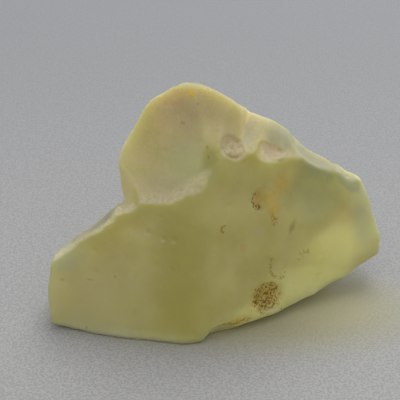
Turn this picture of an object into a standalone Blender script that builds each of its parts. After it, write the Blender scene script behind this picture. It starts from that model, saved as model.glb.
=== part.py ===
"""A raw lump of desert glass, 43 mm long, lying on the broken face that it rests on.

Run it with: blender --background --python part.py

The lump is one solid. Two convex blanks, a long low body and a lobe that stands on it, are joined.
Flakes are then struck off them: each scar is a bite out of a large smooth ball, because that is how glass
breaks. Last, blown sand wears the arrises round and pits the faces. X runs along the lump, Y away from
its broad front face, and Z up.
"""

import math

import bmesh
import bpy
from mathutils import Matrix, Vector

OBJECT_NAME = "desert_glass"
MM = 0.001

# The point on the table that the corners are measured from, moved here so that the origin is under the
# middle of the finished lump, in millimetres.
ORIGIN = (0.195, 0.545, 0.0)

# The glass: light coming back out of it is a dull yellow-green.
GLASS_COLOUR = (0.30, 0.27, 0.095, 1.0)

# The skin: how finely the worn surface is rebuilt, how often it is worn, and the share of its faces kept.
VOXEL = 0.26 * MM
WEAR_PASSES = 5
KEPT_SHARE = 0.078

# Slow swells and shallow wind-cut scallops left in the skin: their size and height.
SWELL_SIZE, SWELL_HEIGHT = 8.0 * MM, 0.8 * MM
SCALLOP_SIZE, SCALLOP_HEIGHT = 5.0 * MM, 0.32 * MM

BODY_CORNERS = {
    "foot, left": (-20.85, -7.15, 0.5),
    "foot, left of middle": (-12.2, -9.5, -0.4),
    "foot, prow": (-4.3, -11.1, -0.3),
    "foot, prow right": (-2.2, -10.9, 0.2),
    "prow, left": (-6.4, -8.9, 5.8),
    "prow, middle left": (-4.4, -9.25, 5.9),
    "prow, middle right": (-2.4, -8.95, 6.0),
    "prow, right": (-0.6, -8.05, 5.9),
    "prow, high left": (-6.2, -5.2, 18.0),
    "prow, high middle": (-3.2, -5.65, 18.6),
    "prow, high right": (-0.4, -4.75, 19.4),
    "sole, left front": (-18.0, -5.8, -0.3),
    "sole, prow": (-3.8, -9.8, -0.3),
    "sole, right front": (6.0, -4.0, -0.3),
    "sole, right back": (8.0, 8.0, -0.3),
    "sole, middle back": (-5.0, 9.6, -0.3),
    "sole, left back": (-16.0, 5.0, -0.3),
    "rim, one": (1.5, -8.4, 1.9),
    "rim, two": (4.9, -7.0, 1.2),
    "rim, three": (7.8, -5.3, 1.0),
    "rim, four": (11.3, -3.1, 1.3),
    "rim, five": (14.5, -0.9, 1.7),
    "rim, six": (17.6, 1.1, 2.8),
    "rim, right end": (21.95, 4.0, 4.0),
    "rim, right back": (19.6, 10.0, 6.0),
    "right end, middle": (21.95, 4.8, 7.8),
    "right end, upper": (21.1, 5.2, 10.0),
    "right end, high": (20.1, 5.6, 11.8),
    "right shoulder, front": (17.0, 3.6, 14.3),
    "right shoulder, side": (18.95, 5.8, 14.5),
    "right shoulder, top": (17.9, 6.3, 15.3),
    "right shoulder, back": (16.0, 6.8, 15.9),
    "right flank": (17.0, 11.0, 10.5),
    "arris, left": (-20.0, -4.8, 9.1),
    "arris, notch": (-12.2, -4.6, 14.95),
    "arris, peak": (1.1, -3.4, 23.9),
    "arris, scar": (9.0, 0.3, 20.5),
    "arris, right": (13.9, 2.6, 18.4),
    "slope, left": (-20.8, -2.8, 8.5),
    "slope, notch": (-11.5, -3.1, 16.3),
    "end, high": (-21.3, -4.2, 7.6),
    "end, low": (-21.3, -5.0, 3.0),
    "end, back": (-19.0, 3.4, 3.4),
    "crest, one": (4.2, 4.4, 25.4),
    "crest, two": (8.0, 5.8, 22.85),
    "crest, three": (12.2, 6.0, 18.6),
    "back, left": (-13.0, 4.0, 9.0),
    "back, middle": (-3.0, 11.0, 12.0),
    "back, right": (9.0, 12.2, 9.0),
    "back, high": (3.0, 8.6, 20.0),
}
LOBE_CORNERS = {
    "top, left": (-7.8, 1.0, 29.2),
    "top, middle": (-4.2, 0.6, 30.9),
    "top, right": (-0.8, -0.6, 30.9),
    "top, far right": (1.4, -0.8, 29.5),
    "brow, left": (-4.6, -1.6, 28.6),
    "brow, right": (-0.6, -3.2, 28.2),
    "brow, low": (-5.5, -3.6, 22.5),
    "ridge": (1.3, -3.1, 26.0),
    "ridge, turn low": (3.0, -1.6, 25.2),
    "ridge, turn high": (2.3, 0.3, 28.9),
    "ridge, turn middle": (3.3, 1.0, 27.5),
    "top, back": (-2.6, 5.4, 28.8),
    "flank, high": (-9.25, 1.9, 26.0),
    "flank, upper": (-10.25, 1.3, 24.4),
    "flank, middle": (-11.9, 0.0, 22.0),
    "flank, widest": (-12.5, -1.4, 20.1),
    "flank, low": (-12.2, -2.4, 19.0),
    "flank, notch": (-11.2, -3.8, 17.6),
    "flank, back high": (-9.4, 4.6, 25.0),
    "flank, back": (-11.6, 3.4, 20.6),
    "flank, back low": (-11.4, 2.0, 17.6),
    "peak": (1.0, -3.4, 24.0),
    "crest": (4.2, 4.3, 25.6),
    "front, low left": (-10.6, -4.8, 15.0),
    "front, middle": (-3.0, -5.5, 18.8),
    "front, low right": (1.0, -4.4, 20.0),
    "back, left": (-8.6, 6.0, 17.0),
    "back, right": (2.0, 9.6, 18.0),
    "root, left": (-10.0, 3.0, 9.0),
    "root, right": (2.0, 6.0, 10.0),
}

# The hollow that makes the lobe's whole front face: the centre and radius of the ball that cuts it.
SCOOP_CENTRE, SCOOP_RADIUS = (-11.5, -12.9, 29.45), 15.3

# Flake scars: a point on the face, the way that face looks, the scar's length, width and depth in
# millimetres, and its turn about that way in degrees.
SCARS = {
    "thumbnail below the peak": ((2.5, -1.8, 23.8), (0.5, -0.5, 0.7), (3.8, 3.2, 0.3), 0),
    "thumbnail on the slope": ((6.5, 0.2, 21.7), (0.5, -0.4, 0.77), (6.0, 2.4, 0.26), 30),
    "under the lip": ((-8.6, -5.3, 15.0), (-0.22, -0.93, 0.29), (10.0, 4.2, 0.18), -14),
    "front, upper right": ((13.0, 1.7, 15.6), (0.47, -0.85, 0.25), (11.0, 7.0, 0.35), -15),
    "front, low right": ((11.0, -2.0, 6.0), (0.47, -0.85, 0.2), (9.0, 6.0, 0.25), -20),
    "left end, upper": ((-21.6, -4.6, 6.2), (-0.9, -0.4, 0.1), (3.4, 3.4, 0.5), 0),
    "left end, lower": ((-21.6, -5.4, 2.8), (-0.9, -0.4, 0.0), (3.0, 3.0, 0.4), 0),
    "rim notch": ((1.3, -9.2, 0.5), (0.25, -0.75, -0.6), (5.4, 3.6, 1.4), 0),
    "rim, right": ((15.8, 0.0, 2.4), (0.4, -0.8, -0.5), (4.5, 3.0, 0.5), 0),
    "crest": ((13.3, 5.5, 18.3), (0.5, -0.05, 0.86), (7.0, 6.0, 0.5), 0),
    "shoulder": ((16.4, 5.0, 16.6), (0.7, -0.1, 0.7), (5.5, 4.5, 0.3), 0),
    "right end": ((20.6, 7.4, 9.5), (0.95, 0.2, 0.1), (6.0, 8.0, 0.7), 0),
    "back, broad": ((-1.0, 10.0, 14.0), (-0.1, 0.9, 0.4), (17.0, 15.0, 1.8), 0),
    "back, right": ((12.5, 10.5, 13.0), (0.45, 0.85, 0.35), (16.0, 15.0, 1.9), 0),
    "back, left": ((-14.5, 6.5, 5.0), (-0.4, 0.9, 0.1), (15.0, 9.0, 1.3), 0),
    "back, foot": ((3.0, 11.0, 4.0), (0.1, 0.95, -0.2), (12.0, 5.0, 0.9), 0),
    "left slope": ((-15.6, -1.6, 12.4), (-0.55, 0.05, 0.83), (7.0, 4.4, 0.5), 40),
    "lobe, back": ((-3.0, 6.0, 23.0), (-0.2, 0.9, 0.35), (9.0, 11.0, 0.9), 0),
    "left slope, low": ((-16.6, 2.2, 8.4), (-0.5, 0.4, 0.77), (6.5, 5.0, 0.6), 0),
    "lobe, upper left": ((-7.4, 0.9, 27.0), (-0.35, -0.85, 0.4), (9.0, 7.0, 0.55), 30),
    "lobe, right rim": ((0.7, -1.5, 27.0), (0.05, -0.88, 0.47), (7.0, 8.0, 0.3), 0),
    "scoop, right": ((-1.6, -4.2, 21.8), (-0.2, -0.8, 0.55), (5.0, 4.6, 0.6), 0),
    "lip, left": ((-10.7, -4.4, 16.2), (-0.42, -0.3, 0.86), (7.0, 3.0, 0.5), 0),
    "pit, lower": ((6.8, -4.6, 3.7), (0.47, -0.85, 0.2), (3.4, 3.0, 0.35), 20),
    "pit, upper": ((5.4, -2.3, 16.4), (0.47, -0.85, 0.2), (1.9, 2.4, 0.3), 0),
}


def glass():
    """Pale yellow-green glass, blown matt by sand."""
    made = bpy.data.materials.new("desert glass")
    made.use_nodes = True
    look = made.node_tree.nodes["Principled BSDF"]
    look.inputs["Base Color"].default_value = GLASS_COLOUR
    look.inputs["Metallic"].default_value = 0.0
    look.inputs["Roughness"].default_value = 0.5
    look.inputs["IOR"].default_value = 1.46
    look.inputs["Transmission Weight"].default_value = 0.6
    return made


def fresh_scene():
    for thing in list(bpy.data.objects):
        bpy.data.objects.remove(thing, do_unlink=True)


def collection(name):
    made = bpy.data.collections.new(name)
    bpy.context.scene.collection.children.link(made)
    return made


def keep(bm, name, into):
    mesh = bpy.data.meshes.new(name)
    bm.to_mesh(mesh)
    bm.free()
    made = bpy.data.objects.new(name, mesh)
    into.objects.link(made)
    return made


def hull(name, corners, into):
    """The convex solid that wraps the corners."""
    bm = bmesh.new()
    for corner in corners.values():
        bm.verts.new(Vector(corner) * MM)
    shell = bmesh.ops.convex_hull(bm, input=bm.verts)
    inside = [v for v in shell["geom_interior"] if isinstance(v, bmesh.types.BMVert)]
    bmesh.ops.delete(bm, geom=inside, context="VERTS")
    bmesh.ops.recalc_face_normals(bm, faces=bm.faces)
    return keep(bm, name, into)


def ball(name, centre, half_axes, way, turn, into, around=64):
    """A stretched ball to cut with, whose third axis lies along the way given."""
    bm = bmesh.new()
    bmesh.ops.create_uvsphere(bm, u_segments=around, v_segments=around // 2, radius=1.0)
    size = Matrix.Diagonal((*(a * MM for a in half_axes), 1.0))
    facing = Vector(way).to_track_quat("Z", "Y").to_matrix().to_4x4()
    spin = Matrix.Rotation(math.radians(turn), 4, "Z")
    bm.transform(Matrix.Translation(Vector(centre) * MM) @ facing @ spin @ size)
    return keep(bm, name, into)


def scar(name, on, way, size, turn, into):
    """The ball whose bite out of a flat face has the length, width and depth given."""
    length, width, depth = size
    thick = (length * width / 4 + depth * depth) / (2 * depth)
    spread = math.sqrt(1 - (1 - depth / thick) ** 2)
    centre = Vector(on) + Vector(way).normalized() * (thick - depth)
    return ball(name, centre, (length / 2 / spread, width / 2 / spread, thick), way, turn, into)


def slab(name, into):
    """A block whose top is the table, to cut the face that the lump rests on."""
    bm = bmesh.new()
    bmesh.ops.create_cube(bm, size=1.0)
    bm.transform(Matrix.Translation((0, 0, -5 * MM)) @ Matrix.Diagonal((80 * MM, 60 * MM, 10 * MM, 1)))
    return keep(bm, name, into)


def texture(name, kind, size):
    made = bpy.data.textures.new(name, kind)
    made.noise_scale = size
    return made


def displace(stone, name, relief, height, middle):
    lift = stone.modifiers.new(name, "DISPLACE")
    lift.texture = relief
    lift.texture_coords = "LOCAL"
    lift.strength = height
    lift.mid_level = middle


def main():
    fresh_scene()
    parts = collection("desert glass")
    cutters = collection("cutters")
    scars = collection("scars")
    stone = hull(OBJECT_NAME, BODY_CORNERS, parts)
    lobe = hull("lobe blank", LOBE_CORNERS, cutters)
    table = slab("table", cutters)
    ball("scoop", SCOOP_CENTRE, [SCOOP_RADIUS] * 3, (0, 0, 1), 0, scars, around=128)
    for name, (on, way, size, turn) in SCARS.items():
        scar(name, on, way, size, turn, scars)
    for thing in list(cutters.objects) + list(scars.objects):
        thing.hide_render = True
        thing.display_type = "WIRE"
    for thing in list(parts.objects) + list(cutters.objects) + list(scars.objects):
        if thing is not table:
            thing.location = -Vector(ORIGIN) * MM

    join = stone.modifiers.new("join lobe", "BOOLEAN")
    join.operation = "UNION"
    join.object = lobe
    strike = stone.modifiers.new("strike flakes", "BOOLEAN")
    strike.operation = "DIFFERENCE"
    strike.operand_type = "COLLECTION"
    strike.collection = scars
    skin = stone.modifiers.new("rebuild skin", "REMESH")
    skin.mode = "VOXEL"
    skin.voxel_size = VOXEL
    skin.use_smooth_shade = True
    wear = stone.modifiers.new("wear", "SMOOTH")
    wear.factor = 0.5
    wear.iterations = WEAR_PASSES
    displace(stone, "swells", texture("swells", "CLOUDS", SWELL_SIZE), SWELL_HEIGHT, 0.5)
    displace(stone, "scallops", texture("scallops", "VORONOI", SCALLOP_SIZE), SCALLOP_HEIGHT, 0.5)
    thin = stone.modifiers.new("fewer faces", "DECIMATE")
    thin.ratio = KEPT_SHARE
    rest = stone.modifiers.new("resting face", "BOOLEAN")
    rest.operation = "DIFFERENCE"
    rest.object = table
    stone.data.materials.append(glass())


main()
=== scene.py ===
# %% [markdown]
# # A raw lump of desert glass
#
# Desert glass is nearly pure silica, pale yellow to olive green. Broken lumps of it lie in the sand for
# ages, and the wind blows their skin matt. Light goes in through that skin, wanders about in the milky
# inside and comes out again, so thin ends glow and thick parts go dark and olive.
#
# This notebook dresses a plain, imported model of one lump. First come the camera and a small kit of
# helpers, then the list of the lump's marks, its fine skin, the glass, the grit in its pits, and last the
# table and the light.

import math
from types import SimpleNamespace

import bmesh
import bpy
from mathutils import Euler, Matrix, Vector


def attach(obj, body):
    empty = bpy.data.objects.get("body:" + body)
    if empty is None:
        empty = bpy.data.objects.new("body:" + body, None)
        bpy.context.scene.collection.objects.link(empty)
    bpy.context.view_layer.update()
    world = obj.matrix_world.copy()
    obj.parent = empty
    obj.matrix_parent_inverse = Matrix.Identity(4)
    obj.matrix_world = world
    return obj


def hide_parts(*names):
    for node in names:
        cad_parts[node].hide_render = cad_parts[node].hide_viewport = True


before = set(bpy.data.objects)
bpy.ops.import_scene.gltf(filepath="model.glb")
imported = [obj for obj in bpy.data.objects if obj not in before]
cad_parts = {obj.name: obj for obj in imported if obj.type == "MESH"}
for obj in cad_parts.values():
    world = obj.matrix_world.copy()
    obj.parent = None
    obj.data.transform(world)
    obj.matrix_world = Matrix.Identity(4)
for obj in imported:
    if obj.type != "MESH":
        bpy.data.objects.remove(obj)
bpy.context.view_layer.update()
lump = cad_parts["desert_glass"]
MM = 0.001
print("packed lump:", len(lump.data.polygons), "faces")


# %% A new object
def placed(name, data):
    """A new object at the origin, linked to the scene."""
    made = bpy.data.objects.new(name, data)
    bpy.context.scene.collection.objects.link(made)
    return made


# %% [markdown]
# ## The camera
#
# The photograph looks down on the lump at 30 degrees from well back, so lines that run away from the eye
# hardly close in. A long lens from about 0.2 m gives the same flat view. The camera comes first, because
# every later choice is judged through it.

# %% Camera
CAMERA_AIM = Vector((-2.175, -0.708, 14.836)) * MM
CAMERA_DISTANCE = 212 * MM
CAMERA_ELEVATION = math.radians(30)
FOCAL_LENGTH = 150
FILM_WIDTH = 36
NEAREST_SEEN = 0.01

lens = bpy.data.cameras.new("camera")
lens.lens = FOCAL_LENGTH
lens.sensor_width = FILM_WIDTH
lens.clip_start = NEAREST_SEEN
camera = placed("camera", lens)
backwards = Vector((0, -math.cos(CAMERA_ELEVATION), math.sin(CAMERA_ELEVATION)))
camera.location = CAMERA_AIM + backwards * CAMERA_DISTANCE
camera.rotation_euler = (-backwards).to_track_quat("-Z", "Y").to_euler()
bpy.context.scene.camera = camera
print("camera at", [round(v, 3) for v in camera.location])

# %% [markdown]
# ## A small kit for node trees
#
# The skin and the glass are both drawn with nodes. The same three steps come back all the time: add a
# node, set its values, link it to the ones before. A short helper does all three, so that each line
# below reads as one step of the pattern. Nodes with many inputs are filled by name, the rest in order.


# %% Adding a node
def feed(tree, socket, value):
    """Gives an input a plain value, or links it to another node's output."""
    if isinstance(value, bpy.types.NodeSocket):
        tree.links.new(value, socket)
    else:
        socket.default_value = value


def node(tree, kind, *inputs, out=0, **settings):
    """Adds a node, fills its inputs in order, passing over None, and gives one of its outputs."""
    made = tree.nodes.new(kind)
    for name, value in settings.items():
        setattr(made, name, value)
    for socket, value in zip([s for s in made.inputs if s.enabled], inputs):
        if value is not None:
            feed(tree, socket, value)
    return [s for s in made.outputs if s.enabled][out]


def filled(tree, kind, **inputs):
    """Adds a node, fills the inputs with these names (_ stands for a space), and gives the node."""
    made = tree.nodes.new(kind)
    for name, value in inputs.items():
        feed(tree, made.inputs[name.replace("_", " ")], value)
    return made


print("nodes can be added in order or by name")


# %% Sums
def sums(kind, operation):
    """A maker of one kind of sum: add(tree, a, b) and so on."""
    return lambda tree, *values: node(tree, kind, *values, operation=operation)


add = sums("ShaderNodeMath", "ADD")
less = sums("ShaderNodeMath", "SUBTRACT")
times = sums("ShaderNodeMath", "MULTIPLY")
over = sums("ShaderNodeMath", "DIVIDE")
most = sums("ShaderNodeMath", "MAXIMUM")
unsigned = sums("ShaderNodeMath", "ABSOLUTE")
v_add = sums("ShaderNodeVectorMath", "ADD")
v_less = sums("ShaderNodeVectorMath", "SUBTRACT")
v_times = sums("ShaderNodeVectorMath", "MULTIPLY")
v_over = sums("ShaderNodeVectorMath", "DIVIDE")
v_scale = sums("ShaderNodeVectorMath", "SCALE")
v_dot = sums("ShaderNodeVectorMath", "DOT_PRODUCT")
v_length = sums("ShaderNodeVectorMath", "LENGTH")


def along(tree, vector, axis):
    """How far a vector reaches along the axis "X", "Y" or "Z"."""
    return node(tree, "ShaderNodeSeparateXYZ", vector, out="XYZ".index(axis))


def spun(tree, place, angle, axis):
    """The place, turned about the origin. The angle is in degrees, the axis "Y_AXIS" or "Z_AXIS"."""
    radians = math.radians(angle)
    return node(tree, "ShaderNodeVectorRotate", place, (0, 0, 0), radians, rotation_type=axis)


print("13 kinds of sum")


# %% Patterns
def ramp(tree, value, low, high, start=0.0, end=1.0):
    """Runs smoothly from start to end as the value runs from low to high."""
    limits = (low, high, start, end)
    return node(tree, "ShaderNodeMapRange", value, *limits, interpolation_type="SMOOTHSTEP")


def noise_node(tree, place, size, detail=3.0):
    """Cloudy noise, whose swells are about as wide as the size given, in millimetres."""
    scale = 1.0 / (size * MM)
    return filled(tree, "ShaderNodeTexNoise", Vector=place, Scale=scale, Detail=detail, Roughness=0.55)


def noise(tree, place, size, detail=3.0):
    """That noise as one number at each place."""
    return noise_node(tree, place, size, detail).outputs[0]


def cells(tree, place, size, out="Distance"):
    """Distance to the nearest of many scattered points, in cells, or that point's random colour."""
    return filled(tree, "ShaderNodeTexVoronoi", Vector=place, Scale=1.0 / (size * MM)).outputs[out]


def shaken(tree, place, size, reach):
    """The place, pushed about by noise, so that the edge of a patch wanders."""
    stir = v_less(tree, noise_node(tree, place, size).outputs[1], (0.5, 0.5, 0.5))
    return v_add(tree, place, v_scale(tree, stir, reach * MM))


print("ramps, clouds, cells and wandering edges")

# %% [markdown]
# ## Patches and strokes
#
# A mark on the lump is a soft patch round a point. On the model that is an ellipsoid: the distance from
# its centre, divided by its reach in each direction, is 1 on its edge. A smooth ramp across that edge
# gives a mask. A thin bent stroke, such as the rim of an old bubble, is a piece of such a ring instead.


# %% Patches
def in_mm(numbers):
    return tuple(number * MM for number in numbers)


def spot(tree, place, centre, reach, soft=0.35, tilt=0.0):
    """1 inside a lump-shaped patch round a point, 0 outside. Centre and reach are in millimetres.

    The tilt, in degrees, turns the patch about Y, so that it runs down to the right."""
    gap = v_less(tree, place, in_mm(centre))
    if tilt:
        gap = spun(tree, gap, -tilt, "Y_AXIS")
    far = v_length(tree, v_over(tree, gap, in_mm(reach)))
    return ramp(tree, far, 1 + soft, 1 - soft)


def patches(tree, place, rows, soft=0.35):
    """Several such spots in one mask."""
    mask = 0.0
    for centre, reach, *tilt in rows.values():
        mask = most(tree, mask, spot(tree, place, centre, reach, soft, *tilt))
    return mask


print("patches: a centre, a reach and a tilt each")

# %% Strokes
STROKE_END = 0.2
STROKE_CORE = 0.3


def arc(tree, place, centre, radius, width, middle, half_angle):
    """1 on a bent stroke: part of a ring that stands upright, seen along Y. Angles are in degrees."""
    flat = v_times(tree, v_less(tree, place, in_mm(centre)), (1, 0, 1))
    far = v_length(tree, flat)
    off_ring = unsigned(tree, less(tree, far, radius * MM))
    line = ramp(tree, off_ring, width * MM, STROKE_CORE * width * MM)
    turn = math.radians(middle)
    towards = v_dot(tree, flat, (math.cos(turn), 0, math.sin(turn)))
    limit = math.cos(math.radians(half_angle))
    open_side = ramp(tree, over(tree, towards, far), limit - STROKE_END, limit + STROKE_END)
    near = spot(tree, place, centre, (2.5 * radius, 2.0, 2.5 * radius), 0.2)
    return times(tree, times(tree, line, open_side), near)


print("strokes: a ring's centre, radius, width, middle and half angle each")

# %% [markdown]
# ## Where things are on the lump
#
# The marks on the real lump are few and each has its own place: rust-stained pits on the right front face,
# two pale thumbnail scars under the peak, a frosted hollow above a sharp lip. Each is named here once with
# its centre and its reach in millimetres. The relief, the grit and the colours all read this list, so a
# stain can never drift away from its pit.
#
# The front is two flat breaks that meet at a blunt prow. A mark on a break is wide and tall but must not
# reach deep, so its centre and reach are given along the break, inwards and up. Turning the place by the
# break's own angle gives those three directions.

# %% The two front faces
LEFT_TURN = -13.6
RIGHT_TURN = 29.1


def turned(tree, place, turn):
    """The place, turned so that X runs along a front face, Y into it and Z up."""
    return spun(tree, place, -turn, "Z_AXIS")


def on_face(turn, *point):
    """A point of the lump in the directions of a front face."""
    swung = Vector(point)
    swung.rotate(Euler((0, 0, math.radians(-turn))))
    return tuple(swung)


def on_right(*point):
    return on_face(RIGHT_TURN, *point)


def on_left(*point):
    return on_face(LEFT_TURN, *point)


print("the front breaks are turned by", LEFT_TURN, "and", RIGHT_TURN, "degrees")

# %% Pits and ochre stains
STAINED_PITS = {
    "lower pit": (on_right(6.1, -5.45, 3.3), (2.3, 2.2, 1.75)),
}
ROUND_THE_PITS = {
    "lower": (on_right(6.25, -5.4, 3.3), (3.1, 3.0, 2.7)),
    "upper": (on_right(5.3, -3.0, 16.2), (1.8, 2.5, 1.9)),
}
HALF_STAINED_PIT = (on_right(5.0, -3.05, 16.2), 0.85, 0.34, 195, 105)
OCHRE = {
    "in the upper pit": (on_right(5.1, -3.0, 16.2), (0.85, 2.0, 1.15)),
    "beside the upper pit": (on_right(8.1, -1.1, 17.3), (1.3, 2.0, 1.3)),
    "between them": (on_right(6.6, -1.9, 16.1), (1.3, 2.0, 1.2)),
    "below": (on_right(7.0, -2.4, 14.4), (0.9, 2.0, 1.2)),
    "dot": (on_right(3.0, -5.4, 10.9), (0.38, 2.0, 0.55)),
    "rim": (on_right(2.2, -8.2, 1.5), (2.1, 2.0, 0.6)),
    "crown": (on_right(-3.3, -0.4, 29.8), (0.22, 2.5, 0.5)),
}
print(len(STAINED_PITS), "stained pit and", len(OCHRE), "ochre stains")

# %% Specks and strokes
SPECKLED = {
    "below the ochre": (on_right(7.0, -2.7, 13.3), (0.5, 2.0, 0.8)),
    "rim": (on_right(2.2, -8.2, 1.4), (2.0, 2.0, 0.4)),
    "old bubble, top": (on_right(6.75, -4.2, 8.2), (0.35, 2.0, 0.3)),
    "old bubble, foot": (on_right(8.3, -3.5, 5.6), (0.6, 2.0, 0.22)),
}
STROKES = {
    "old bubble": (on_right(8.3, -3.35, 7.25), 2.0, 0.3, 210, 66),
    "small c": (on_right(0.5, -6.0, 14.05), 0.45, 0.2, 160, 95),
}
FAINT_SPECKS = {
    "by the glow": (on_right(11.3, -1.8, 7.6), (0.7, 2.0, 0.55)),
    "inside it": (on_right(10.6, -2.3, 6.9), (0.4, 2.0, 0.4)),
}
LEFT_SPECKS = {
    "end": (on_left(-19.6, -6.1, 6.35), (0.34, 1.5, 0.14)),
    "middle": (on_left(-15.96, -6.77, 6.94), (0.4, 1.5, 0.12)),
    "inner": (on_left(-12.76, -7.3, 7.73), (0.16, 1.5, 0.16)),
    "foot": (on_left(-16.57, -8.57, 0.75), (0.14, 1.5, 0.2)),
    "hollow, high": (on_left(-2.4, -1.2, 28.7), (0.16, 3.0, 0.16)),
    "hollow, middle": (on_left(-4.3, -0.6, 25.8), (0.32, 3.0, 0.2)),
    "hollow, right": (on_left(-1.3, -3.6, 24.0), (0.18, 3.0, 0.26)),
    "hollow, low": (on_left(-1.1, -3.9, 22.7), (0.15, 3.0, 0.24)),
}
BRUISE = {
    "front": (on_right(9.3, -1.7, 11.7), (0.35, 2.0, 0.8), 35),
}
print(len(SPECKLED) + len(FAINT_SPECKS) + len(LEFT_SPECKS), "groups of specks")

# %% Pale marks
FROSTED_LIP = {
    "right part": ((-2.7, -5.4, 19.8), (1.7, 1.6, 1.2), -35),
}
WHITE_MARKS = {
    "below the ochre": (on_right(4.8, -4.0, 12.5), (0.8, 2.0, 0.4)),
    "side of it": (on_right(7.3, -2.5, 12.9), (0.35, 2.0, 0.3)),
}
PALE_SCARS = {
    "thumbnail": ((1.9, -3.0, 23.6), (1.85, 2.2, 1.15), 39),
    "thumbnail, slope": ((7.0, -0.4, 21.6), (2.0, 1.8, 0.75), 35),
    "crown": ((-6.3, -0.2, 28.6), (2.4, 2.2, 1.3)),
}
print(len(PALE_SCARS), "pale scars")

# %% Broad changes of colour, with painted light and shade
# Painted shade: darker olive on the thick prow, where less light comes through the glass.
PAINTED_PROW_SHADE = {
    "prow": ((-5.0, -9.3, 5.6), (3.0, 4.0, 4.8)),
    "prow, high": ((-5.2, -8.0, 11.5), (2.6, 4.0, 4.0)),
}
GREENISH = {
    "right hollow": ((13.2, 1.4, 14.6), (4.5, 4.0, 3.0)),
    "shoulder": ((16.8, 4.0, 15.4), (3.0, 4.0, 2.4)),
    "hollow": ((-3.4, -3.4, 21.6), (3.4, 3.0, 2.8)),
}
# A greener tone on the right crest and slope, darkened as painted shade against the light from above and
# behind.
GREEN_SHADED_SLOPE = {
    "crest": ((9.6, 4.6, 22.2), (3.8, 4.4, 2.2)),
    "slope": ((13.4, 4.0, 19.0), (4.2, 4.6, 2.6), 20),
}
# The crown's own pinkish tone, darkened as painted shade against the light from behind.
CROWN_TONE_AND_SHADE = {
    "crown": ((-4.3, 0.3, 29.0), (7.6, 3.2, 3.4)),
}
BESIDE_THE_SCARS = {
    "between them": ((4.5, -2.2, 22.3), (0.9, 2.0, 1.6)),
    "left of them": ((-1.0, -3.6, 23.4), (1.3, 2.0, 2.4)),
    "left side of the hollow": ((-8.6, -1.2, 23.0), (2.4, 3.0, 4.0)),
}
# Painted shade: a darker band that draws a small facet on the shoulder, which the smooth surface doesn't
# have.
PAINTED_FACET_SHADE = {
    "front": ((17.1, 3.5, 15.3), (2.7, 2.5, 0.95), 50),
}
COOL_END = {
    "left corner": ((-19.6, -5.4, 9.6), (3.0, 3.0, 2.4)),
    "right end": ((20.4, 4.8, 11.2), (2.8, 4.0, 6.2)),
}
# Painted glow: the thin end and the feet are made pale, as if lit through the glass.
PAINTED_GLOW_PATCHES = {
    "right end": ((15.2, 0.8, 7.0), (5.8, 5.0, 3.1)),
    "right foot": ((12.4, -2.2, 3.9), (7.5, 4.0, 3.0)),
    "below the lower pit": ((5.6, -6.0, 2.2), (4.5, 3.0, 1.3)),
    "left foot": ((-11.5, -10.0, 0.0), (10.0, 3.0, 1.3)),
}
SHADED = {
    "left slope": ((-16.4, -2.2, 12.6), (6.5, 3.0, 3.8)),
}
GREY_ENDS = {
    "left end": ((-20.6, -6.0, 4.6), (3.0, 4.0, 4.4)),
    "left front": ((-15.0, -8.4, 3.6), (5.5, 4.0, 6.5)),
}
# The glow patches are painted light.
print(len(PAINTED_GLOW_PATCHES), "places where light comes through")

# %% Every mark
TABLES = (
    STAINED_PITS, ROUND_THE_PITS, FROSTED_LIP, OCHRE, SPECKLED, STROKES, FAINT_SPECKS, LEFT_SPECKS,
    BRUISE, WHITE_MARKS, PALE_SCARS, PAINTED_PROW_SHADE, GREENISH, GREEN_SHADED_SLOPE, CROWN_TONE_AND_SHADE, BESIDE_THE_SCARS,
    PAINTED_FACET_SHADE, COOL_END, PAINTED_GLOW_PATCHES, SHADED, GREY_ENDS,
)
print(sum(map(len, TABLES)) + 1, "named marks")


# %% The ragged pit
def in_stained_pit(tree, place, soft=0.25):
    """1 inside the lower pit, whose edge is ragged."""
    ragged = shaken(tree, place, 1.0, 2.2)
    return patches(tree, turned(tree, ragged, RIGHT_TURN), STAINED_PITS, soft)


print("the lower pit has a ragged edge")

# %% [markdown]
# ## The fine skin
#
# Seen close, the skin is not flat between its ridges. It has slow swells, shallow dimples a few
# millimetres wide, and tiny pits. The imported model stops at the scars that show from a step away. So a
# copy of it is merged, rebuilt finely from voxels and smoothed until its flat faces are gone, and then
# a Geometry Nodes tree pushes each point in or out along its normal. Noise drives the swells. For the pits
# it uses Voronoi cells, because a rule that puts one round pit in some of the cells scatters thousands of
# them with two numbers, and a sculptor would have to place each by hand.

# %% A fine, smooth copy
SKIN_VOXEL = 0.205 * MM
SKIN_SMOOTHING = 6
SAME_POINT = 0.000001

merged = bmesh.new()
merged.from_mesh(lump.data)
bmesh.ops.remove_doubles(merged, verts=merged.verts, dist=SAME_POINT)
skin_mesh = bpy.data.meshes.new("glass_lump")
merged.to_mesh(skin_mesh)
merged.free()
skin = placed("glass_lump", skin_mesh)

rebuild = skin.modifiers.new("rebuild", "REMESH")
rebuild.mode = "VOXEL"
rebuild.voxel_size = SKIN_VOXEL
rebuild.use_smooth_shade = True
smooth = skin.modifiers.new("smooth", "SMOOTH")
smooth.factor = 0.5
smooth.iterations = SKIN_SMOOTHING
print("merged copy:", len(skin_mesh.vertices), "points")

# %% [markdown]
# ## Where the frost is
#
# Sun and sand have frosted every face that looks up, and the walls of the hollow, but the two steep front
# breaks stay clean. A mask from the way the surface faces, and from how far it lies behind those two
# breaks, draws the border along the lip and the arrises, because that is where the surface turns. The
# relief reads it for its crumbs and the glass for its colour.

# %% The frost's limits
FRONT_POINT = Vector((-3.8, -11.75, 0.4)) * MM
FRONT_FACES = ((-0.225, -0.93, 0.29), (0.476, -0.855, 0.207))
BREAK_EDGE = -0.7 * MM
CLEAN_AT = -0.9 * MM
FROSTED_AT = -1.5 * MM
PEAK_STARTS = 23.4 * MM
PEAK_FULL = 24.6 * MM
LOOKS_UP = (0.48, 0.68)
print("frost on faces that look up by", LOOKS_UP)


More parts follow.
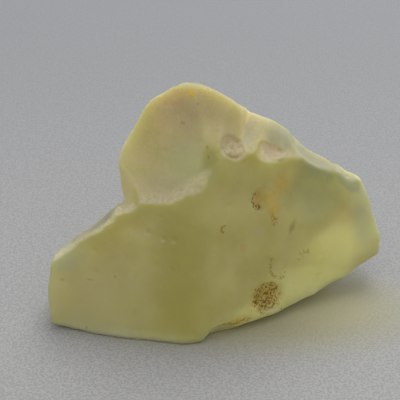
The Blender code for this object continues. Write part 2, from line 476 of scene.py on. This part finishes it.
# %% Frost mask
def frost_masks(tree, place, normal):
    """The frosted skin, 0 on the two steep front breaks, and the bright edge where it meets them."""
    gap = v_less(tree, shaken(tree, place, 0.8, 0.5), tuple(FRONT_POINT))
    ahead = most(tree, *[v_dot(tree, gap, way) for way in FRONT_FACES])
    stir = times(tree, less(tree, noise(tree, place, 0.8, 4.0), 0.5), 0.2)
    upward = add(tree, along(tree, normal, "Z"), stir)
    around = patches(tree, turned(tree, place, RIGHT_TURN), ROUND_THE_PITS, 0.15)
    faces_up = times(tree, ramp(tree, upward, *LOOKS_UP), less(tree, 1.0, around))
    peak = ramp(tree, along(tree, place, "Z"), PEAK_STARTS, PEAK_FULL)
    behind = most(tree, ramp(tree, ahead, CLEAN_AT, FROSTED_AT), peak)
    edge = times(tree, faces_up, ramp(tree, ahead, FROSTED_AT, BREAK_EDGE))
    lip = patches(tree, shaken(tree, place, 0.6, 0.5), FROSTED_LIP, 0.15)
    frost = most(tree, most(tree, behind, lip), faces_up)
    return frost, most(tree, edge, times(tree, lip, 0.7))


print("the frost mask reads", len(FRONT_FACES), "front breaks")

# %% [markdown]
# ## Running a Geometry Nodes tree
#
# A tree is built once with a named input for each size. A modifier then runs it on a piece. Its inputs are
# set by the socket's identifier, before anything is evaluated. The result is taken as a plain mesh and the
# modifier is thrown away, so the piece keeps no live parts.


# %% A tree with named sizes
def new_tree(name, titles):
    """A Geometry Nodes tree with a geometry in and out, and a named input for each size."""
    tree = bpy.data.node_groups.new(name, "GeometryNodeTree")
    tree.interface.new_socket("Geometry", in_out="INPUT", socket_type="NodeSocketGeometry")
    for title in titles:
        tree.interface.new_socket(title, in_out="INPUT", socket_type="NodeSocketFloat")
    tree.interface.new_socket("Geometry", in_out="OUTPUT", socket_type="NodeSocketGeometry")
    return tree, tree.nodes.new("NodeGroupInput").outputs


def give_out(tree, geometry):
    """Links the tree's result to its way out."""
    tree.links.new(geometry, tree.nodes.new("NodeGroupOutput").inputs[0])
    return tree


def shape_by(piece, tree, sizes):
    """Runs a tree on a piece with these sizes, and leaves the result in it as a plain mesh."""
    modifier = piece.modifiers.new(tree.name, "NODES")
    modifier.node_group = tree
    for item in tree.interface.items_tree:
        if item.in_out == "INPUT" and item.name in sizes:
            modifier[item.identifier] = sizes[item.name]
    piece.update_tag()
    graph = bpy.context.evaluated_depsgraph_get()
    result = bpy.data.meshes.new_from_object(piece.evaluated_get(graph))
    piece.modifiers.clear()
    piece.data = result
    result.name = piece.name


print("trees can be run on a piece")

# %% The relief's sizes
RELIEF = {"Swell": 0.07, "Dimple": 0.08, "Pit": 0.12, "Rough": 0.2, "Crumb": 0.3, "Scar": 0.2}
SWELL_WIDTH = 3.2
DIMPLE_WIDTH = 3.6
# Width of the cells that hold one pit each, share of them left without, and depth beside the first kind's.
PIT_KINDS = ((1.7, 0.76, 1.0), (0.95, 0.7, 0.5))
SOLE = (0.3 * MM, 1.4 * MM)
print("relief in mm:", RELIEF)


# %% The relief, as a node tree
def pits(tree, place, height, depth):
    """The height, less the tiny round pits."""
    for size, left_out, share in PIT_KINDS:
        luck = along(tree, cells(tree, place, size, "Color"), "X")
        chosen = ramp(tree, luck, left_out, left_out + 0.04)
        hole = times(tree, ramp(tree, cells(tree, place, size), 0.36, 0.1), chosen)
        height = less(tree, height, times(tree, times(tree, hole, depth), share))
    return height


def relief_tree():
    tree, given = new_tree("sand-worn relief", RELIEF)
    place = node(tree, "GeometryNodeInputPosition")
    normal = node(tree, "GeometryNodeInputNormal")

    swell = times(tree, less(tree, noise(tree, place, SWELL_WIDTH), 0.5), given["Swell"])
    bowl = ramp(tree, cells(tree, place, DIMPLE_WIDTH), 0.0, 0.7, -1.0, 0.0)
    height = add(tree, swell, times(tree, bowl, given["Dimple"]))
    height = pits(tree, place, height, given["Pit"])
    ring = arc(tree, turned(tree, place, RIGHT_TURN), *HALF_STAINED_PIT)
    stained = most(tree, in_stained_pit(tree, place), ring)
    broken = less(tree, noise(tree, place, 0.5, 2.0), 0.55)
    floor = times(tree, times(tree, broken, stained), times(tree, given["Rough"], 2.0))
    height = add(tree, height, floor)
    frost, edge = frost_masks(tree, place, normal)
    crumbs = times(tree, broken, most(tree, edge, times(tree, frost, 0.15)))
    height = add(tree, height, times(tree, crumbs, given["Crumb"]))
    chipped = patches(tree, shaken(tree, place, 0.5, 0.35), PALE_SCARS, 0.12)
    height = less(tree, height, times(tree, chipped, given["Scar"]))

    above_sole = ramp(tree, along(tree, place, "Z"), *SOLE)
    push = v_scale(tree, normal, times(tree, height, above_sole))
    return give_out(tree, node(tree, "GeometryNodeSetPosition", given["Geometry"], True, None, push))


shape_by(skin, relief_tree(), {title: size * MM for title, size in RELIEF.items()})
print("skin:", sum(len(face.vertices) - 2 for face in skin.data.polygons), "triangles")

# %% [markdown]
# ## The glass
#
# Real desert glass is clear silica full of tiny bubbles. A path of light through it is bent and scattered
# many times. One Principled shader does this in three parts: part of the light passes straight through
# the matt skin (transmission, with the index of silica), part is scattered below it (subsurface), and a
# plain absorption in the volume takes out blue, so that a long way through the lump comes out olive.
#
# The colour is built in layers, as a painter would: the clean glass first, with painted shade on the thick
# prow and painted glow on the thin end, the frosted skin over it, with painted shade on what looks up,
# then the back in painted shade and the crumbs on the lip, and last the stains. Each layer reads the list
# of marks.

# %% Glass colours
STRAW_COLOUR = (0.825, 0.76, 0.32, 1)
BODY_COLOUR = (0.71, 0.64, 0.215, 1)
OLIVE_COLOUR = (0.58, 0.53, 0.12, 1)
GREEN_COLOUR = (0.62, 0.65, 0.30, 1)
GREEN_SHADE_COLOUR = (0.37, 0.395, 0.26, 1)
PAINTED_GLOW_COLOUR = (1.0, 0.98, 0.40, 1)
FROST_COLOUR = (0.71, 0.63, 0.32, 1)
PALE_COLOUR = (0.77, 0.66, 0.39, 1)
LIP_COLOUR = (0.79, 0.71, 0.46, 1)
GREY_COLOUR = (0.82, 0.75, 0.37, 1)
COOL_COLOUR = (0.70, 0.72, 0.49, 1)
FACET_SHADE_COLOUR = (0.50, 0.515, 0.37, 1)
SHADED_COLOUR = (0.34, 0.325, 0.26, 1)
SCAR_COLOUR = (0.64, 0.51, 0.29, 1)
CROWN_SHADE_COLOUR = (0.60, 0.51, 0.28, 1)
UP_SHADE_COLOUR = (0.42, 0.385, 0.25, 1)
BACK_SHADE_COLOUR = (0.46, 0.43, 0.17, 1)
BACK_OLIVE_SHADE_COLOUR = (0.35, 0.34, 0.10, 1)
OCHRE_COLOUR = (0.70, 0.49, 0.10, 1)
PIT_COLOUR = (0.70, 0.49, 0.07, 1)
BRUISE_COLOUR = (0.33, 0.30, 0.08, 1)
RUST_COLOUR = (0.31, 0.19, 0.03, 1)
DARK_COLOUR = (0.20, 0.115, 0.005, 1)
GRIT_COLOUR = (0.42, 0.27, 0.09, 1)
print("straw to rust, from", STRAW_COLOUR[:3], "to", RUST_COLOUR[:3])


# %% Laying one colour over another
def mix(tree, share, first, second):
    """Mixes two colours."""
    made = tree.nodes.new("ShaderNodeMix")
    made.data_type = "RGBA"
    for socket, value in zip((made.inputs[0], made.inputs[6], made.inputs[7]), (share, first, second)):
        feed(tree, socket, value)
    return made.outputs[2]


def coat(tree, colour, mask, share, new_colour):
    """Lays a new colour over the one so far, as far as a mask says, at the share given."""
    return mix(tree, times(tree, mask, share), colour, new_colour)


def tint(tree, colour, place, rows, soft, share, new_colour):
    """Lays a new colour over the one so far, inside the patches of a table."""
    return coat(tree, colour, patches(tree, place, rows, soft), share, new_colour)


print("colours can be laid over each other")


# %% What the layers share
def glass_guide(tree):
    """The places, directions and masks that the layers of colour read."""
    place = node(tree, "ShaderNodeTexCoord", out=3)
    normal = node(tree, "ShaderNodeTexCoord", out=1)
    stirred = shaken(tree, place, 1.2, 1.4)
    broad = shaken(tree, place, 4.0, 3.0)
    frost, edge = frost_masks(tree, place, normal)
    return SimpleNamespace(
        place=place,
        stirred=stirred,
        broad=broad,
        right=turned(tree, shaken(tree, place, 0.7, 0.5), RIGHT_TURN),
        left=turned(tree, place, LEFT_TURN),
        up=along(tree, normal, "Z"),
        # away: faces turned to the back, which get painted shade.
        away=ramp(tree, along(tree, normal, "Y"), -0.1, 0.5),
        frost=frost,
        edge=edge,
        # glow: the mask of the painted glow.
        glow=patches(tree, broad, PAINTED_GLOW_PATCHES, 0.6),
        slope_shade=patches(tree, stirred, GREEN_SHADED_SLOPE, 0.5),
        shaded=patches(tree, place, SHADED, 0.4),
        pits=in_stained_pit(tree, place),
        fine=noise(tree, place, 0.34, 2.0),
    )


print("every layer reads one guide")


# %% The clean glass
def clean_glass(tree, guide):
    """Straw to olive glass, with painted shade on the thick prow and painted glow on the thin end, the
    feet and what faces down.
    """
    drift = ramp(tree, noise(tree, guide.place, 5.0, 4.0), 0.3, 0.7)
    colour = mix(tree, drift, BODY_COLOUR, STRAW_COLOUR)
    # Painted shade on the thick prow.
    colour = tint(tree, colour, guide.broad, PAINTED_PROW_SHADE, 0.9, 0.7, OLIVE_COLOUR)
    calm = less(tree, 1.0, patches(tree, guide.right, ROUND_THE_PITS, 0.15))
    # Painted light: a pale glow on what faces down, as if light from the sheet came up through the glass.
    colour = coat(tree, colour, ramp(tree, guide.up, 0.05, -0.3, 0.0, 0.7), calm, PAINTED_GLOW_COLOUR)
    colour = tint(tree, colour, guide.broad, GREY_ENDS, 0.6, 0.8, GREY_COLOUR)
    # Painted glow on the thin end and the feet.
    return coat(tree, colour, guide.glow, 0.5, PAINTED_GLOW_COLOUR)


print("first layer: clean glass")


# %% The frosted skin
def frosted_skin(tree, guide, colour):
    """Beige frost on what looks up, greener towards the right end. Painted shade darkens what looks up,
    the right crest and slope, the crown, the left slope and a facet of the shoulder.
    """
    blotch = ramp(tree, noise(tree, guide.place, 2.4, 4.0), 0.42, 0.62)
    colour = coat(tree, colour, guide.frost, 0.85, mix(tree, blotch, FROST_COLOUR, PALE_COLOUR))
    colour = tint(tree, colour, guide.broad, GREENISH, 0.6, 0.6, GREEN_COLOUR)
    colour = tint(tree, colour, guide.broad, COOL_END, 0.5, 0.75, COOL_COLOUR)
    # Painted shade, with a greener tone, on the right crest and slope.
    colour = coat(tree, colour, guide.slope_shade, 0.85, GREEN_SHADE_COLOUR)
    # Painted shade of the shoulder facet.
    chipped = shaken(tree, guide.place, 0.9, 0.5)
    colour = tint(tree, colour, chipped, PAINTED_FACET_SHADE, 0.2, 0.7, FACET_SHADE_COLOUR)
    # The crown's tone and painted shade.
    colour = tint(tree, colour, guide.broad, CROWN_TONE_AND_SHADE, 0.5, 0.8, CROWN_SHADE_COLOUR)
    # Painted shade: faces that look up are made duller and greyer, so the light from above doesn't
    # brighten them past the front.
    colour = mix(tree, ramp(tree, guide.up, 0.55, 0.9, 0.0, 0.6), colour, UP_SHADE_COLOUR)
    colour = coat(tree, colour, guide.shaded, 0.9, SHADED_COLOUR)
    colour = tint(tree, colour, guide.stirred, BESIDE_THE_SCARS, 0.6, 0.28, OLIVE_COLOUR)
    nicked = shaken(tree, guide.place, 0.5, 0.35)
    return tint(tree, colour, nicked, PALE_SCARS, 0.15, 0.75, SCAR_COLOUR)


print("second layer: frosted skin")


# %% The back, in painted shade, and the lip
def back_shade_and_lip(tree, guide, colour):
    """The back, a duller olive darkened further as painted shade against the lamps behind, and the pale
    crumbs along the lip and on the frost.
    """
    drift = ramp(tree, noise(tree, guide.place, 5.0, 4.0), 0.35, 0.65)
    back_shade = mix(tree, drift, BACK_OLIVE_SHADE_COLOUR, BACK_SHADE_COLOUR)
    # Painted shade on the back.
    colour = coat(tree, colour, guide.away, 0.9, back_shade)
    flecks = ramp(tree, noise(tree, guide.place, 0.28, 3.0), 0.45, 0.7, 0.0, 0.35)
    on_lip = ramp(tree, along(tree, guide.place, "X"), 6 * MM, 1 * MM, 0.0, 0.8)
    clumps = ramp(tree, noise(tree, guide.place, 0.4, 3.0), 0.3, 0.6)
    crumbs = times(tree, times(tree, guide.edge, on_lip), clumps)
    # Fewer pale flecks where shade is painted: the right slope, the left slope and the back.
    in_painted_shade = most(tree, guide.slope_shade, most(tree, guide.shaded, guide.away))
    plain = less(tree, 1.0, times(tree, in_painted_shade, 0.8))
    white = most(tree, times(tree, guide.frost, flecks), crumbs)
    colour = coat(tree, colour, white, plain, LIP_COLOUR)
    return tint(tree, colour, guide.right, WHITE_MARKS, 0.5, 0.6, LIP_COLOUR)


print("third layer: back and lip")


# %% Rust-brown specks
def rust_mask(tree, guide):
    """1 on the specks: in the pit and the speckled patches, on the strokes and on the left front."""
    specks = most(tree, guide.pits, patches(tree, guide.right, SPECKLED, 0.5))
    rust = times(tree, specks, ramp(tree, guide.fine, 0.46, 0.56))
    for stroke in STROKES.values():
        dots = ramp(tree, guide.fine, 0.42, 0.54)
        rust = most(tree, rust, times(tree, arc(tree, guide.right, *stroke), dots))
    faint = patches(tree, guide.right, FAINT_SPECKS, 0.5)
    faint = times(tree, faint, ramp(tree, guide.fine, 0.48, 0.56, 0.0, 0.5))
    on_left = times(tree, patches(tree, guide.left, LEFT_SPECKS, 0.6), 0.4)
    return most(tree, rust, most(tree, faint, on_left))


print("specks on", len(STROKES), "strokes")


# %% The stains
def stained_glass(tree, guide, colour):
    """The colour with its ochre, rust and dark grains on it, and how stained each place is."""
    uneven = ramp(tree, noise(tree, guide.place, 0.9, 3.0), 0.25, 0.6, 0.35, 0.75)
    ochre = times(tree, patches(tree, guide.right, OCHRE, 0.6), uneven)
    colour = mix(tree, ochre, colour, OCHRE_COLOUR)
    colour = tint(tree, colour, guide.right, BRUISE, 0.7, 0.45, BRUISE_COLOUR)
    colour = coat(tree, colour, in_stained_pit(tree, guide.place, 0.5), 0.75, PIT_COLOUR)
    rust = rust_mask(tree, guide)
    colour = coat(tree, colour, rust, 0.8, RUST_COLOUR)
    clumps = ramp(tree, noise(tree, guide.place, 1.3, 2.0), 0.46, 0.62)
    ring = arc(tree, guide.right, *HALF_STAINED_PIT)
    dark = most(tree, times(tree, guide.pits, clumps), ring)
    dark = times(tree, dark, ramp(tree, guide.fine, 0.5, 0.58))
    colour = mix(tree, dark, colour, DARK_COLOUR)
    return colour, most(tree, most(tree, rust, dark), times(tree, ochre, 0.6))


print("last layer: stains")

# %% [markdown]
# ## The surface and the inside
#
# The matt skin is fine bump and a high roughness, a little higher where it is frosted. Stains and frost
# let less light straight through. Scattering reaches a few millimetres, far enough for thin ends to glow.
# What is the same everywhere is set on the shader itself.

# %% How light goes in
SILICA_INDEX = 1.46
SHEEN = 0.2
CLEAREST = 0.45
MISTINESS = 0.2
CLEAN_ROUGHNESS = 0.42
FROST_ROUGHNESS = 0.6
GRAIN_WIDTH = 0.22
GRAIN_STRENGTH = 0.5
GRAIN_HEIGHT = 0.04 * MM
SCATTER_REACH = 5 * MM
SCATTER_BY_COLOUR = (1.0, 0.95, 0.4)
INSIDE_COLOUR = (0.80, 0.78, 0.25, 1)
INSIDE_DENSITY = 60
print("index", SILICA_INDEX, "and scattering over", SCATTER_REACH / MM, "mm")


# %% Glass material
def glass_material():
    made = bpy.data.materials.new("sand-worn desert glass")
    made.use_nodes = True
    tree = made.node_tree
    guide = glass_guide(tree)
    colour = frosted_skin(tree, guide, clean_glass(tree, guide))
    colour, stain = stained_glass(tree, guide, back_shade_and_lip(tree, guide, colour))

    misty = most(tree, times(tree, guide.frost, less(tree, 1.0, guide.away)), guide.glow)
    clear = less(tree, CLEAREST, times(tree, misty, MISTINESS))
    coarse = add(tree, times(tree, guide.frost, 0.8), 0.2)
    grain = times(tree, noise(tree, guide.place, GRAIN_WIDTH, 3.0), coarse)
    grain = add(tree, grain, times(tree, guide.fine, stain))
    bump = filled(tree, "ShaderNodeBump", Strength=GRAIN_STRENGTH, Distance=GRAIN_HEIGHT, Height=grain)
    surface = {
        "Base Color": colour,
        "Transmission Weight": times(tree, clear, less(tree, 1.0, stain)),
        "Normal": bump.outputs[0],
        "Roughness": ramp(tree, guide.frost, 0.0, 1.0, CLEAN_ROUGHNESS, FROST_ROUGHNESS),
        "IOR": SILICA_INDEX,
        "Specular IOR Level": SHEEN,
        "Subsurface Weight": 1.0,
        "Subsurface Scale": SCATTER_REACH,
        "Subsurface Radius": SCATTER_BY_COLOUR,
    }
    for title, value in surface.items():
        feed(tree, tree.nodes["Principled BSDF"].inputs[title], value)
    inside = filled(tree, "ShaderNodeVolumeAbsorption", Color=INSIDE_COLOUR, Density=INSIDE_DENSITY)
    feed(tree, tree.nodes["Material Output"].inputs["Volume"], inside.outputs[0])
    return made


glass = glass_material()
skin.data.materials.clear()
skin.data.materials.append(glass)
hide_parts("desert_glass")
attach(skin, "root")
print("glass nodes:", len(glass.node_tree.nodes))

# %% [markdown]
# ## Grit in the stained pits
#
# The two brown pits still hold sand that iron has stained. The grains stand proud of the pit's floor and
# throw tiny shadows, which a painted speckle doesn't. Geometry Nodes scatter them: points are dropped on
# the skin where the stain mask is high, each gets a rough little ball of a few faces, and size and turn
# are random with a fixed seed. A rule fits here because no grain matters by itself.

# %% The grit's sizes
GRIT = {"Grain": 0.1 * MM, "Grains per mm2": 6.0, "Seed": 3.0}
SMALLEST_GRAIN = (0.5, 0.5, 0.4)
LARGEST_GRAIN = (1.3, 1.2, 0.9)
FULL_TURN = (6.28, 6.28, 6.28)
SIZE_SEED, TURN_SEED = 7, 8
GRAIN_FACES = 20
print("grains per square millimetre:", GRIT["Grains per mm2"])


# %% Grit material
def grit_material():
    made = bpy.data.materials.new("iron-stained grit")
    made.use_nodes = True
    tree = made.node_tree
    look = tree.nodes["Principled BSDF"]
    place = node(tree, "ShaderNodeTexCoord", out=3)
    sort = ramp(tree, noise(tree, place, 0.4, 1.0), 0.4, 0.62)
    feed(tree, look.inputs["Base Color"], mix(tree, sort, DARK_COLOUR, GRIT_COLOUR))
    look.inputs["Roughness"].default_value = 0.7
    return made


grit_finish = grit_material()
print("finish:", grit_finish.name)


# %% Grit tree
def between(tree, lowest, highest, seed):
    """A random vector for each grain."""
    kind = "FunctionNodeRandomValue"
    return node(tree, kind, lowest, highest, None, seed, data_type="FLOAT_VECTOR")


def grit_tree():
    tree, given = new_tree("caught grit", GRIT)
    place = node(tree, "GeometryNodeInputPosition")
    ring = arc(tree, turned(tree, place, RIGHT_TURN), *HALF_STAINED_PIT)
    held = most(tree, in_stained_pit(tree, place), ring)
    thick = times(tree, times(tree, held, given["Grains per mm2"]), 1 / (MM * MM))
    mesh, seed = given["Geometry"], given["Seed"]
    drop = filled(tree, "GeometryNodeDistributePointsOnFaces", Mesh=mesh, Density=thick, Seed=seed)
    grain = filled(tree, "GeometryNodeMeshIcoSphere", Subdivisions=1, Radius=given["Grain"])
    put = filled(
        tree,
        "GeometryNodeInstanceOnPoints",
        Points=drop.outputs["Points"],
        Instance=grain.outputs["Mesh"],
        Rotation=between(tree, (0, 0, 0), FULL_TURN, TURN_SEED),
        Scale=between(tree, SMALLEST_GRAIN, LARGEST_GRAIN, SIZE_SEED),
    )
    solid = node(tree, "GeometryNodeRealizeInstances", put.outputs[0])
    dressed = filled(tree, "GeometryNodeSetMaterial", Geometry=solid, Material=grit_finish)
    return give_out(tree, dressed.outputs[0])


grit = placed("pit_grit", skin.data.copy())
shape_by(grit, grit_tree(), GRIT)
grit.data.materials.clear()
grit.data.materials.append(grit_finish)
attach(grit, "root")
print("grains:", len(grit.data.polygons) // GRAIN_FACES)

# %% [markdown]
# ## The table and the light
#
# The lump lies on a matt, pale grey sheet under soft light from above and behind. Nothing on it gleams
# sharply, so the lamps are wide. Light that has come through the glass is yellow and lands on the sheet in
# front of the thin end and along the foot. Blurred light of that kind takes very many samples, so it is
# painted on the sheet: a yellow painted shadow along the foot and paler painted light by the thin end. The
# sheet is also painted darker towards the back, as painted shade.

# %% Paper colours
PAPER_DARK = (0.30, 0.297, 0.288, 1)
PAPER_LIGHT = (0.395, 0.391, 0.381, 1)
PAPER_FAR_SHADE = (0.2, 0.206, 0.218, 1)
# Painted light and shadow: a yellow painted shadow along the foot, then paler painted light by the thin
# end.
# Centre and reach in millimetres, softness, share and colour of each patch.
PAINTED_LIGHT_ON_PAPER = (
    ((6, -4, 0), (19, 8, 5), 0.6, 0.6, (0.36, 0.33, 0.14, 1)),
    ((13, -1, 0), (7, 5, 4), 0.8, 0.4, (0.60, 0.57, 0.34, 1)),
    ((14.6, 4.0, 0), (3.4, 2.8, 4), 0.6, 0.6, (0.58, 0.57, 0.47, 1)),
)
print(len(PAINTED_LIGHT_ON_PAPER), "patches of light on the sheet")


# %% Paper material
def paper_material():
    made = bpy.data.materials.new("pale paper")
    made.use_nodes = True
    tree = made.node_tree
    look = tree.nodes["Principled BSDF"]
    place = node(tree, "ShaderNodeTexCoord", out=3)
    grain = ramp(tree, noise(tree, place, 0.3, 2.0), 0.35, 0.65)
    colour = mix(tree, grain, PAPER_DARK, PAPER_LIGHT)
    # Painted shade: the sheet darkens towards the back.
    depth = ramp(tree, along(tree, place, "Y"), -40 * MM, 100 * MM, 0.0, 0.7)
    colour = mix(tree, depth, colour, PAPER_FAR_SHADE)
    for centre, reach, soft, share, light in PAINTED_LIGHT_ON_PAPER:
        colour = coat(tree, colour, spot(tree, place, centre, reach, soft), share, light)
    feed(tree, look.inputs["Base Color"], colour)
    look.inputs["Roughness"].default_value = 0.85
    return made


paper = paper_material()
print("finish:", paper.name)

# %% Table
TABLE_HALF = 1.5
TABLE_DROP = 0.05 * MM

sheet = bmesh.new()
bmesh.ops.create_grid(sheet, x_segments=1, y_segments=1, size=TABLE_HALF)
for corner in sheet.verts:
    corner.co.z = -TABLE_DROP
table_mesh = bpy.data.meshes.new("table")
sheet.to_mesh(table_mesh)
sheet.free()
table_mesh.materials.append(paper)
table = placed("table", table_mesh)
print("table:", 2 * TABLE_HALF, "m wide")

# %% Lamps
LAMPS_AIM = Vector((0, 0, 0.01))
# Place and width in metres, and power in watts.
LAMPS = {
    "softbox above and behind": ((0.05, 0.22, 0.36), 0.28, 1.12),
    "low lamp behind the thin end": ((0.16, 0.28, 0.1), 0.14, 0.12),
}

for name, (stand, width, power) in LAMPS.items():
    light = bpy.data.lights.new(name, "AREA")
    light.shape = "SQUARE"
    light.size = width
    light.energy = power
    lamp = placed(name, light)
    lamp.location = stand
    lamp.rotation_euler = (LAMPS_AIM - Vector(stand)).to_track_quat("-Z", "Y").to_euler()
    lamp.visible_camera = False
print(len(LAMPS), "lamps")

# %% The room's light
ROOM_COLOUR = (0.86, 0.87, 0.9, 1)
ROOM_STRENGTH = 0.76

room = bpy.data.worlds.new("room")
bpy.context.scene.world = room
room.use_nodes = True
room_light = room.node_tree.nodes["Background"]
room_light.inputs["Color"].default_value = ROOM_COLOUR
room_light.inputs["Strength"].default_value = ROOM_STRENGTH
bpy.context.scene.view_settings.view_transform = "Standard"
print("room light:", ROOM_STRENGTH)
